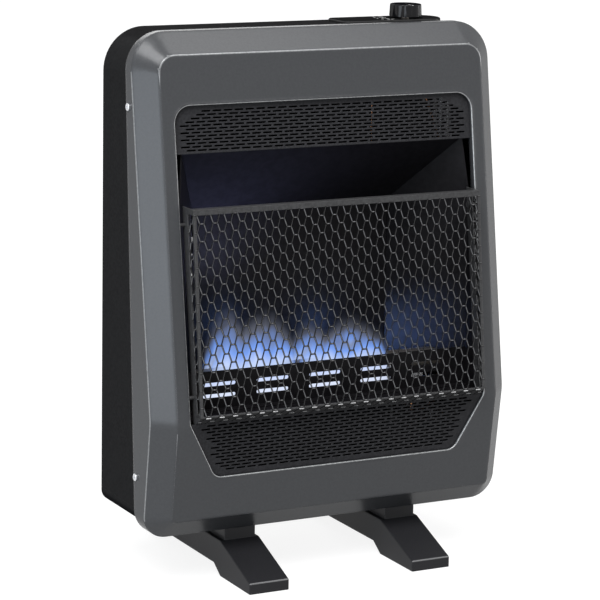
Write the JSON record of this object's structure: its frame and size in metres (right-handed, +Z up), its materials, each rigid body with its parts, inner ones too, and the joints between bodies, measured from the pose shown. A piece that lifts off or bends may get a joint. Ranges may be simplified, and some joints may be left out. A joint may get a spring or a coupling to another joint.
{
  "type": "ventless gas heater",
  "caption": "Free-standing blue-flame gas room heater: bevelled steel front with slotted grilles and hexagon-mesh guard, top control knob and long feet.",
  "frame": {"origin": "on the floor, under the middle of the feet", "axes": "+Z up, +X to the right seen from the front, front faces -Y"},
  "size_m": [0.419, 0.276, 0.58],
  "materials": {
    "housing_paint": "satin metallic gunmetal paint",
    "cabinet_black": "satin black paint",
    "grille_black": "satin charcoal paint",
    "guard_black": "satin dark grey paint",
    "zinc": "bright zinc plate",
    "firebox_enamel": "heat-proof black enamel",
    "burner_steel": "heat-dulled steel",
    "brass": "machined brass",
    "cast_aluminium": "die cast",
    "aluminium_tube": "drawn tube",
    "copper_lead": "drawn copper",
    "lead_rubber": "silicone rubber sleeve",
    "electrode_ceramic": "white ceramic",
    "knob_plastic": "gloss black moulding",
    "panel_plastic": "satin black moulding",
    "foot_plastic": "fine-grained charcoal moulding"
  },
  "bodies": {
    "heater": {"front_housing": "housing_paint", "cabinet_wrap": "cabinet_black", "back_panel": "cabinet_black", "bottom_pan": "cabinet_black", "upper_grille": "grille_black", "lower_grille": "grille_black", "guard_pins": "guard_black", "guard_frame": "guard_black", "guard_mesh": "guard_black", "housing_screws": "zinc", "back_screws": "zinc", "foot_screws": "zinc", "valve_bracket": "zinc", "injector_bracket": "zinc", "bulb_clips": "zinc", "pilot_bracket": "zinc", "burner_saddles": "zinc", "firebox_back": "firebox_enamel", "firebox_left_wall": "firebox_enamel", "firebox_right_wall": "firebox_enamel", "firebox_hood": "firebox_enamel", "firebox_floor": "firebox_enamel", "burner_shield": "firebox_enamel", "burner_tube": "burner_steel", "thermocouple": "burner_steel", "injector": "brass", "inlet_fitting": "brass", "pipe_nuts": "brass", "pilot_burner": "brass", "valve_body": "cast_aluminium", "regulator_body": "cast_aluminium", "regulator_cap": "cast_aluminium", "supply_pipe": "aluminium_tube", "burner_pipe": "aluminium_tube", "pilot_pipe": "aluminium_tube", "thermocouple_lead": "copper_lead", "thermostat_bulb": "copper_lead", "capillary": "copper_lead", "ignition_lead": "lead_rubber", "spark_electrode": "electrode_ceramic", "control_panel": "panel_plastic", "piezo_igniter": "panel_plastic", "left_foot": "foot_plastic", "right_foot": "foot_plastic"},
    "plug": {"valve_plug": "brass", "stem_spring": "zinc"},
    "knob": {"control_knob": "knob_plastic", "valve_stem": "burner_steel"}
  },
  "joints": [
    {"name": "knob_turn", "type": "hinge", "parent": "heater", "child": "plug", "pos_m": [0.1297, 0.008, 0.55], "axis": [0, 0, 1], "range_deg": [-160, 80]},
    {"name": "knob_push", "type": "slide", "parent": "plug", "child": "knob", "axis": [0, 0, -1], "range_m": [0, 0.004], "stiffness_N_per_m": 800, "springref_m": -0.005, "deforming": ["stem_spring"]}
  ]
}
